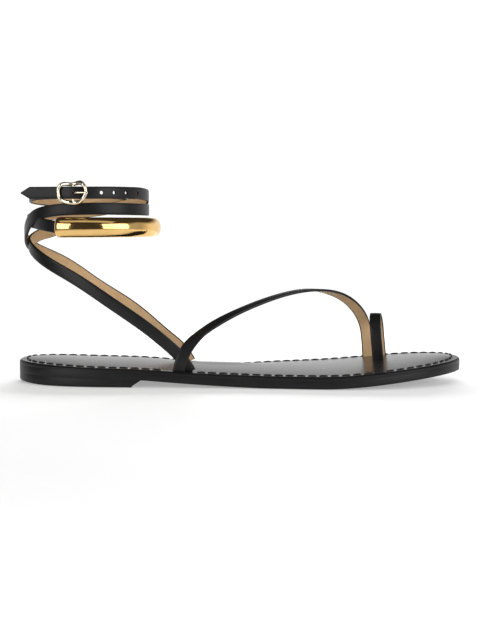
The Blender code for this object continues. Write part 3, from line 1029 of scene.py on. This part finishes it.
@dataclass
class Upper:
    """Both wound straps and the instep strap."""

    form: SoleForm
    ankle: Ankle
    sink: float = 1.2
    lateral_base: float = 99.0
    medial_base: float = 98.0
    tip: float = 5.0
    lateral_border: float = 0.28
    fold_r: float = 1.2
    fold_sides: int = 24
    hole_u: float = 1.1
    hole_w: float = 4.0
    hole_r: float = 1.0
    hole_sides: int = 20
    hole_places: Sequence[float] = (0.0, 6.2, 14.6, 21.9, 29.6, 38.2)
    lateral_rise: Sequence[tuple[float, ...]] = (
        (-27.8, -25.6, 0.0, -90.0, 0.0),
        (-32.3, -26.6, 5.9, -90.0, 0.0),
        (-40.0, -27.8, 13.8, -91.0, 0.0),
        (-50.0, -28.5, 22.2, -92.0, 0.0),
        (-72.0, -27.4, 37.6, -96.0, 0.0),
        (-92.0, -23.8, 50.6, -104.0, 0.0),
        (-112.5, -14.0, 62.0, -136.0, 0.0),
    )
    lateral_wrap: Sequence[tuple[float, float, float]] = (
        (-180.0, 0.0, 79.6),
        (-205.0, 0.3, 83.8),
        (-222.0, 2.0, 85.5),
        (-238.0, 3.8, 87.8),
        (-247.0, 3.9, 88.5),
        (-462.0, 3.9, 88.5),
        (-474.0, 3.7, 88.9),
        (-490.0, 1.6, 90.4),
        (-508.0, 0.0, 91.5),
        (-525.0, 0.0, 92.2),
        (-540.0, 0.0, 92.8),
        (-575.0, 0.0, 95.8),
        (-605.0, 0.0, 97.0),
        (-630.0, 0.0, 98.2),
        (-660.0, 0.0, 101.0),
        (-690.0, 0.0, 104.0),
        (-720.0, 0.0, 106.6),
        (-745.0, 0.2, 107.6),
        (-772.0, 1.4, 107.6),
        (-790.0, 2.8, 107.5),
    )
    tip_route: Sequence[tuple[float, float]] = (
        (8.2, 2.6), (0.0, 4.1), (-8.2, 2.7), (-18.0, 1.6), (-29.6, 0.6),
    )
    medial_rise: Sequence[tuple[float, ...]] = (
        (-29.9, 21.9, 0.0, 90.0, 0.0),
        (-34.4, 22.9, 5.6, 90.0, 0.0),
        (-45.0, 25.0, 14.9, 91.0, 0.0),
        (-56.4, 26.6, 24.6, 92.0, 0.0),
        (-67.0, 26.6, 32.9, 95.0, 0.0),
        (-85.3, 24.3, 44.9, 101.0, 0.0),
        (-106.5, 17.2, 59.8, 118.0, 0.0),
    )
    medial_wrap: Sequence[tuple[float, float, float]] = (
        (160.0, 1.2, 76.5),
        (180.0, 1.7, 81.1),
        (195.0, 1.7, 85.8),
        (210.0, 1.6, 92.4),
        (225.0, 1.4, 96.0),
        (240.0, 0.7, 97.6),
        (258.0, 0.2, 98.5),
        (285.0, 0.1, 98.8),
        (325.0, 0.0, 98.6),
        (365.0, 0.0, 98.5),
        (390.0, 1.3, 99.4),
        (405.0, 1.6, 101.1),
        (430.0, 1.6, 102.7),
        (450.0, 1.6, 103.2),
        (495.0, 0.4, 104.3),
        (540.0, -1.5, 105.6),
        (580.0, -0.5, 107.0),
        (606.0, 0.3, 107.4),
    )
    end_route: Sequence[tuple[float, float]] = ((-6.0, 0.9), (-1.1, 2.1))
    instep_rise: Sequence[tuple[float, ...]] = (
        (78.3, 34.0, 8.6, 90.0, 0.0),
        (77.3, 34.0, 22.9, 90.0, 5.0),
        (75.6, 33.0, 30.9, 90.0, 20.0),
        (70.7, 30.0, 39.4, 90.0, 46.0),
        (64.0, 26.0, 45.4, 90.0, 60.0),
        (55.2, 20.0, 49.5, 90.0, 72.0),
        (46.1, 14.0, 51.4, 90.0, 87.0),
        (29.1, 4.0, 50.3, 90.0, 93.0),
        (11.5, -5.0, 45.4, 90.0, 96.5),
        (-4.0, -13.0, 39.3, 90.0, 100.5),
        (-16.8, -19.8, 32.6, 90.0, 107.0),
        (-25.1, -24.0, 26.4, 90.0, 116.0),
        (-30.9, -27.6, 18.8, 90.0, 156.0),
        (-34.6, -28.2, 7.5, 90.0, 178.0),
    )

    def rise(self, table: Sequence[Sequence[float]], base: float) -> list[tuple[float, ...]]:
        """Rows of a rising strap, its heights taken from the insole at its anchor and its foot let in."""
        ground = self.form.insole_top(base)
        rows = [(x, y, ground + above, facing, lean) for x, y, above, facing, lean in table]
        return [(rows[0][0], rows[0][1], rows[0][2] - self.sink, *rows[0][3:])] + rows[1:]

    def build(self) -> None:
        """Make the three straps."""
        ankle = self.ankle
        lateral = Strap(self.rise(self.lateral_rise, self.lateral_base) + ankle.wrap(self.lateral_wrap)
                        + ankle.buckle_rows(self.tip_route, -3), tip=self.tip, border=self.lateral_border)
        medial = Strap(self.rise(self.medial_rise, self.medial_base) + ankle.wrap(self.medial_wrap)
                       + ankle.buckle_rows(self.end_route, 1))
        outer = make_piece("lateral_wrap_strap", lateral.skin().mesh, STRAP_FINISHES)
        self.punch(outer, lateral)
        settle(outer, Slot.STRAP, "upper")
        folded = medial.skin().mesh
        self.fold(folded, medial)
        settle(make_piece("medial_wrap_strap", folded, STRAP_FINISHES), Slot.STRAP, "upper")
        instep = Strap(self.instep_rise)
        settle(make_piece("instep_strap", instep.skin().mesh, STRAP_FINISHES), Slot.STRAP, "upper")

    def fold(self, shape: bmesh.types.BMesh, strap: Strap) -> None:
        """Add a round roll, as wide as the strap, where its end goes round the buckle's centre bar.

        Args:
            shape: the strap's mesh, which takes the roll.
            strap: its route.
        """
        middle = Vector(self.ankle.buckle_point(0.0, 0.0, self.end_route[-1][1])) * MM
        add_pin(shape, self.fold_sides, self.fold_r, strap.wide, Matrix.Translation(middle))

    def punch(self, piece: bpy.types.Object, strap: Strap) -> None:
        """Punch the row of buckle holes through the strap's free end.

        Args:
            piece: the strap's object, whose mesh is exchanged.
            strap: its route.
        """
        first = strap.nearest(self.ankle.buckle_point(self.hole_u, 0.0, self.hole_w))
        shape = bmesh.new()
        for back in self.hole_places:
            middle, along, across, out = strap.section(first - back)
            turn = Matrix((along, across, out)).transposed().to_4x4()
            add_pin(shape, self.hole_sides, self.hole_r, 3.0 * strap.thick,
                    Matrix.Translation(Vector(middle) * MM) @ turn)
        for face in shape.faces:
            face.material_index = Face.EDGE.value
        cutter = make_piece("hole_punch", shape, STRAP_FINISHES)
        step = piece.modifiers.new("holes", "BOOLEAN")
        step.operation = "DIFFERENCE"
        step.object = cutter
        step.solver = "EXACT"
        bpy.context.view_layer.update()
        depsgraph = bpy.context.evaluated_depsgraph_get()
        punched = bpy.data.meshes.new_from_object(piece.evaluated_get(depsgraph))
        piece.modifiers.clear()
        piece.data = punched
        bpy.data.objects.remove(cutter)


@dataclass
class ToeLoop:
    """Arch of strap over the big toe."""

    form: SoleForm
    x: float = 84.0
    y: float = 22.5
    heading: float = 79.0
    radius: float = 11.2
    wide: float = 6.6
    shoulder: float = 25.2
    back_lean: float = 2.4
    arc_steps: int = 12
    sink: float = 1.0

    def build(self) -> None:
        """Bend the strap over and let both feet into the insole."""
        heading = math.radians(self.heading)
        foot = self.form.insole_top(self.form.along(self.x))
        outline = [(-self.radius, foot - self.sink, 180.0)]
        for angle in np.linspace(180.0, 0.0, self.arc_steps + 1):
            reach = self.radius * math.cos(math.radians(angle))
            outline.append((reach, self.shoulder + self.radius * math.sin(math.radians(angle)), float(angle)))
        outline.append((self.radius, foot - self.sink, 0.0))
        rows = []
        for reach, height, lean in outline:
            back = self.back_lean * (height - foot) / self.shoulder
            x = self.x + reach * math.cos(heading) - back
            rows.append((x, self.y + reach * math.sin(heading), height, self.heading, lean))
        piece = make_piece("toe_loop_strap", Strap(rows, wide=self.wide).skin().mesh, STRAP_FINISHES)
        settle(piece, Slot.STRAP, "toe_loop")


@dataclass
class Bangle:
    """Hollow gold tube, bent round the ankle and open at both ends."""

    ankle: Ankle
    start: float = -245.0
    end: float = -470.5
    out: float = 3.9
    z: float = 88.5
    tall: float = 10.9
    deep: float = 7.5
    wall: float = 0.7
    end_flare: float = 0.04
    flare_turn: float = 85.0
    stations: int = 120
    sides: int = 40
    sharp: float = 60.0
    lip_turn: float = 3.6
    lip_roll: float = 1.6
    lip_steps: int = 8
    lip_back: tuple[float, float] = (0.05, 0.1)

    def ring(self, turn: float, inset: float) -> list[Point]:
        """Oval section at a turn round the ankle, pulled in by inset."""
        x, y, facing = self.ankle.oval(turn, self.out)
        outward = np.array((math.cos(math.radians(facing)), math.sin(math.radians(facing)), 0.0))
        from_end = min(abs(turn - self.start), abs(turn - self.end))
        share = 1.0 + self.end_flare * max(0.0, 1.0 - from_end / self.flare_turn) ** 2
        points = []
        for k in range(self.sides):
            angle = 2.0 * math.pi * k / self.sides
            reach = (share * self.deep / 2.0 - inset) * math.cos(angle)
            rise = (share * self.tall / 2.0 - inset) * math.sin(angle)
            points.append(np.array((x, y, self.z)) + reach * outward + np.array((0.0, 0.0, rise)))
        return points

    def build(self) -> None:
        """Grow the outside over both rolled lips and come back along the inside."""
        way = math.copysign(1.0, self.end - self.start)
        roll = []
        for bend in np.linspace(0.0, math.pi / 2.0, self.lip_steps):
            along, inset = 1.0 - math.sin(bend), 1.0 - math.cos(bend)
            roll.append((way * self.lip_turn * along, self.lip_roll * inset))
        outside = [(self.start + along, inset) for along, inset in roll[::-1]]
        first, last = self.start + roll[0][0], self.end - roll[0][0]
        outside += [(turn, 0.0) for turn in np.linspace(first, last, self.stations)[1:-1]]
        outside += [(self.end - along, inset) for along, inset in roll]
        back, deeper = way * self.lip_back[0], self.lip_roll + self.lip_back[1]
        inside = [(self.end - back, deeper)]
        inside += [(turn, self.wall) for turn in np.linspace(last, first, self.stations)]
        inside += [(self.start + back, deeper)]
        rings = [self.ring(turn, inset) for turn, inset in outside + inside]
        skin = Skin(rings[0])
        for ring in rings[1:]:
            skin.grow(ring)
        skin.join_ends()
        settle(make_piece("gold_bangle", skin.mesh, [GOLD], self.sharp), Slot.BANGLE, "bangle")


@dataclass
class Buckle:
    """Arched wire frame with its centre bar, and the prong that lies on it."""

    ankle: Ankle
    bar_r: float = 0.9
    arch: float = 3.0
    arch_reach: float = 6.0
    bar_w: float = 2.1
    bar_rise: float = 5.4
    centre_r: float = 0.8
    samples: int = 110
    sides: int = 20
    sharp: float = 50.0
    prong_r: float = 0.6
    prong_samples: int = 40
    prong_taper: float = 0.25
    prong_end: Sequence[float] = (0.85, 0.45)
    outline: Sequence[tuple[float, float, float]] = (
        (7.6, 0.8, 0.95), (6.7, 3.8, 1.05), (4.5, 5.35, 1.25), (1.2, 4.85, 1.15), (-2.4, 4.65, 1.05),
        (-5.2, 4.65, 1.05), (-7.1, 3.1, 1.0), (-7.65, -0.4, 0.95), (-6.35, -3.8, 1.05), (-3.0, -5.25, 1.2),
        (0.6, -5.4, 1.25), (4.1, -4.8, 1.15), (6.65, -2.4, 1.05),
    )
    prong_route: Sequence[tuple[float, float]] = (
        (1.1, 2.2), (1.1, 3.2), (1.2, 4.6), (2.0, 5.5), (4.6, 6.2), (8.6, 6.9),
    )

    def wire(self, points: Sequence[Point], radii: Sequence[tuple[float, float]], closed: bool) -> Skin:
        """Round wire along points.

        Args:
            points: middle of the wire in millimetres.
            radii: half its width and half its depth at each point.
            closed: whether the end joins the start.

        Returns:
            The wire's skin.
        """
        outward = self.ankle.buckle_axes()[2]
        count = len(points)
        skin = None
        for i, (point, (wide, deep)) in enumerate(zip(points, radii)):
            after = points[(i + 1) % count] if closed else points[min(i + 1, count - 1)]
            before = points[i - 1] if closed else points[max(i - 1, 0)]
            along = (after - before) / np.linalg.norm(after - before)
            side = np.cross(along, outward if closed else np.array((0.0, 0.0, 1.0)))
            side /= np.linalg.norm(side)
            up = np.cross(side, along)
            ring = []
            for k in range(self.sides):
                angle = 2.0 * math.pi * k / self.sides
                ring.append(point + wide * math.cos(angle) * side + deep * math.sin(angle) * up)
            if skin is None:
                skin = Skin(ring)
            else:
                skin.grow(ring)
        if closed:
            skin.join_ends()
        else:
            skin.cap(skin.first_ring)
            skin.cap(skin.ring)
        return skin

    def build(self) -> None:
        """Make the frame with its bar, and the prong."""
        corners = list(self.outline) + [self.outline[0]]
        steps = np.linalg.norm(np.diff(corners, axis=0)[:, :2], axis=1)
        knots = np.concatenate(([0.0], np.cumsum(steps)))
        laps = np.concatenate((knots[:-1] - knots[-1], knots, knots[1:] + knots[-1]))
        outline = natural_spline(laps, corners[:-1] + corners + corners[1:])
        points = []
        radii = []
        for place in np.linspace(0.0, knots[-1], self.samples, endpoint=False):
            u, v, half = outline(place)
            bow = min(1.0, abs(u) / self.arch_reach) ** 2
            points.append(self.ankle.buckle_point(u, v, self.bar_w + self.arch * bow))
            radii.append((half, self.bar_r))
        skin = self.wire(points, radii, True)
        foot, head = (self.ankle.buckle_point(0.0, side * self.bar_rise, self.bar_w) for side in (-1.0, 1.0))
        middle = Vector((foot + head) / 2.0) * MM
        add_pin(skin.mesh, self.sides, self.centre_r, 2.0 * self.bar_rise, Matrix.Translation(middle))
        settle(make_piece("wire_buckle", skin.mesh, [PALE_GOLD], self.sharp), Slot.BUCKLE, "buckle_frame")
        rows = np.array(self.prong_route)
        reach = np.concatenate(([0.0], np.cumsum(np.linalg.norm(np.diff(rows, axis=0), axis=1))))
        route = natural_spline(reach, rows)
        places = np.linspace(0.0, reach[-1], self.prong_samples)
        points = [self.ankle.buckle_point(u, 0.0, w) for u, w in (route(place) for place in places)]
        blunt = [1.0] * (len(places) - len(self.prong_end)) + list(self.prong_end)
        radii = [(self.prong_r * (1.0 - self.prong_taper * place / reach[-1]) * share,) * 2
                 for place, share in zip(places, blunt)]
        settle(make_piece("buckle_tongue", self.wire(points, radii, False).mesh, [PALE_GOLD], self.sharp),
               Slot.BUCKLE, "buckle_prong")


@dataclass
class SoftBox:
    """One soft box: where it stands and how large and bright its face is, in metres and scene brightness."""

    name: str
    place: tuple[float, float, float]
    wide: float
    tall: float
    glow: float
    mirrored: bool = True


@dataclass
class Studio:
    """Pale floor, soft boxes on both sides, a white sweep behind and the camera."""

    eye: tuple[float, float, float] = (0.0, -0.650, 0.0893)
    pitch: float = 4.79
    focal: float = 1122.6
    frame_tall: float = 640.0
    sensor: float = 36.0
    target: tuple[float, float, float] = (-0.03, 0.0, 0.06)
    floor_size: float = 0.6
    floor_sides: int = 96
    floor_drop: float = 0.0002
    floor_full: float = 0.24
    floor_gone: float = 0.4
    floor_tone: float = 0.72
    floor_glow: float = 0.34
    white: float = 1.05
    room_front: float = 0.055
    room_side: float = 0.5
    room_back: float = 1.05
    room_floor: float = 0.5
    boxes: Sequence[SoftBox] = (
        SoftBox("left_soft_box", (-0.78, -0.92, 0.26), 0.62, 0.8, 3.1),
        SoftBox("right_soft_box", (0.74, -0.8, 0.26), 0.85, 0.8, 2.9),
        SoftBox("back_soft_box", (0.1, 0.9, 0.27), 0.9, 0.24, 27.0, False),
        SoftBox("top_soft_box", (0.0, 0.05, 1.2), 1.5, 1.5, 0.7, False),
        SoftBox("front_panel", (-0.05, -0.7, 1.03), 1.5, 0.42, 0.62),
        SoftBox("toe_fill", (0.3, -0.34, 0.15), 0.2, 0.2, 1.7, False),
    )

    def build(self) -> None:
        """Set up the floor, the lights and the camera."""
        self.floor()
        self.room()
        for box in self.boxes:
            self.hang(box)
        lens = bpy.data.cameras.new("camera")
        lens.sensor_width = self.sensor
        lens.lens = self.focal * self.sensor / self.frame_tall
        lens.clip_start = 0.01
        camera = bpy.data.objects.new("camera", lens)
        camera.location = self.eye
        camera.rotation_euler = (math.radians(90.0 - self.pitch), 0.0, 0.0)
        bpy.context.scene.collection.objects.link(camera)
        bpy.context.scene.camera = camera
        bpy.context.scene.view_settings.view_transform = "Standard"

    def floor(self) -> None:
        """Pale floor under the shoe, which fades into the white sweep all round."""
        shape = bmesh.new()
        bmesh.ops.create_circle(shape, cap_ends=True, radius=self.floor_size, segments=self.floor_sides)
        mesh = bpy.data.meshes.new("floor")
        shape.to_mesh(mesh)
        shape.free()
        paint = bpy.data.materials.new("pale_floor")
        paint.use_nodes = True
        board = Board(paint.node_tree)
        away = board.node("ShaderNodeVectorMath", {0: board.place()}, out="Value", operation="LENGTH")
        tone = (self.floor_tone, self.floor_tone, self.floor_tone, 1.0)
        surface = board.node("ShaderNodeBsdfPrincipled", {
            "Base Color": tone, "Roughness": 0.9, "Specular IOR Level": 0.1,
            "Emission Color": (1.0, 1.0, 1.0, 1.0), "Emission Strength": self.floor_glow,
            "Alpha": 1.0 - away.between(self.floor_full, self.floor_gone)})
        board.node("ShaderNodeOutputMaterial", {"Surface": surface})
        mesh.materials.append(paint)
        floor = bpy.data.objects.new("floor", mesh)
        floor.location.z = -self.floor_drop
        bpy.context.scene.collection.objects.link(floor)

    def room(self) -> None:
        """White sweep that is seen, and the darker room behind the camera that only lights and reflects."""
        world = bpy.data.worlds.new("studio")
        world.use_nodes = True
        board = Board(world.node_tree)
        heading = board.node("ShaderNodeTexCoord", out="Generated")
        right, back, up = (board.node("ShaderNodeSeparateXYZ", {0: heading}, out=axis) for axis in "XYZ")
        behind = back.between(0.0, 0.45) * up.between(0.5, 0.18)
        beside = right.between(0.78, 0.92) * (1.0 - behind)
        below = up.between(-0.15, -0.5)
        upper = (behind * (self.room_back - self.room_front) + beside * (self.room_side - self.room_front)
                 + self.room_front)
        light = upper + below * (1.0 - behind) * (self.room_floor - upper)
        seen = board.node("ShaderNodeLightPath", out="Is Camera Ray")
        sky = board.node("ShaderNodeBackground", {"Color": (1.0, 1.0, 1.0, 1.0),
                                                  "Strength": light + seen * (self.white - light)})
        board.node("ShaderNodeOutputWorld", {"Surface": sky})
        bpy.context.scene.world = world

    def hang(self, box: SoftBox) -> None:
        """Hang one soft box, turned to the shoe.

        Args:
            box: its place, size and brightness.
        """
        lamp = bpy.data.lights.new(box.name, "AREA")
        lamp.shape = "RECTANGLE"
        lamp.size = box.wide
        lamp.size_y = box.tall
        lamp.energy = box.glow * math.pi * box.wide * box.tall
        item = bpy.data.objects.new(box.name, lamp)
        item.location = box.place
        item.visible_glossy = box.mirrored
        item.rotation_mode = "QUATERNION"
        item.rotation_quaternion = (Vector(self.target) - Vector(box.place)).to_track_quat("-Z", "Y")
        bpy.context.scene.collection.objects.link(item)


def main() -> None:
    """Build the studio and the shoe."""
    logging.basicConfig(level=logging.INFO, format="%(name)s: %(message)s")
    form = SoleForm()
    ankle = Ankle()
    Studio().build()
    Sole(form).build()
    Upper(form, ankle).build()
    ToeLoop(form).build()
    Bangle(ankle).build()
    Buckle(ankle).build()
    bpy.context.view_layer.update()


if __name__ == "__main__":
    main()
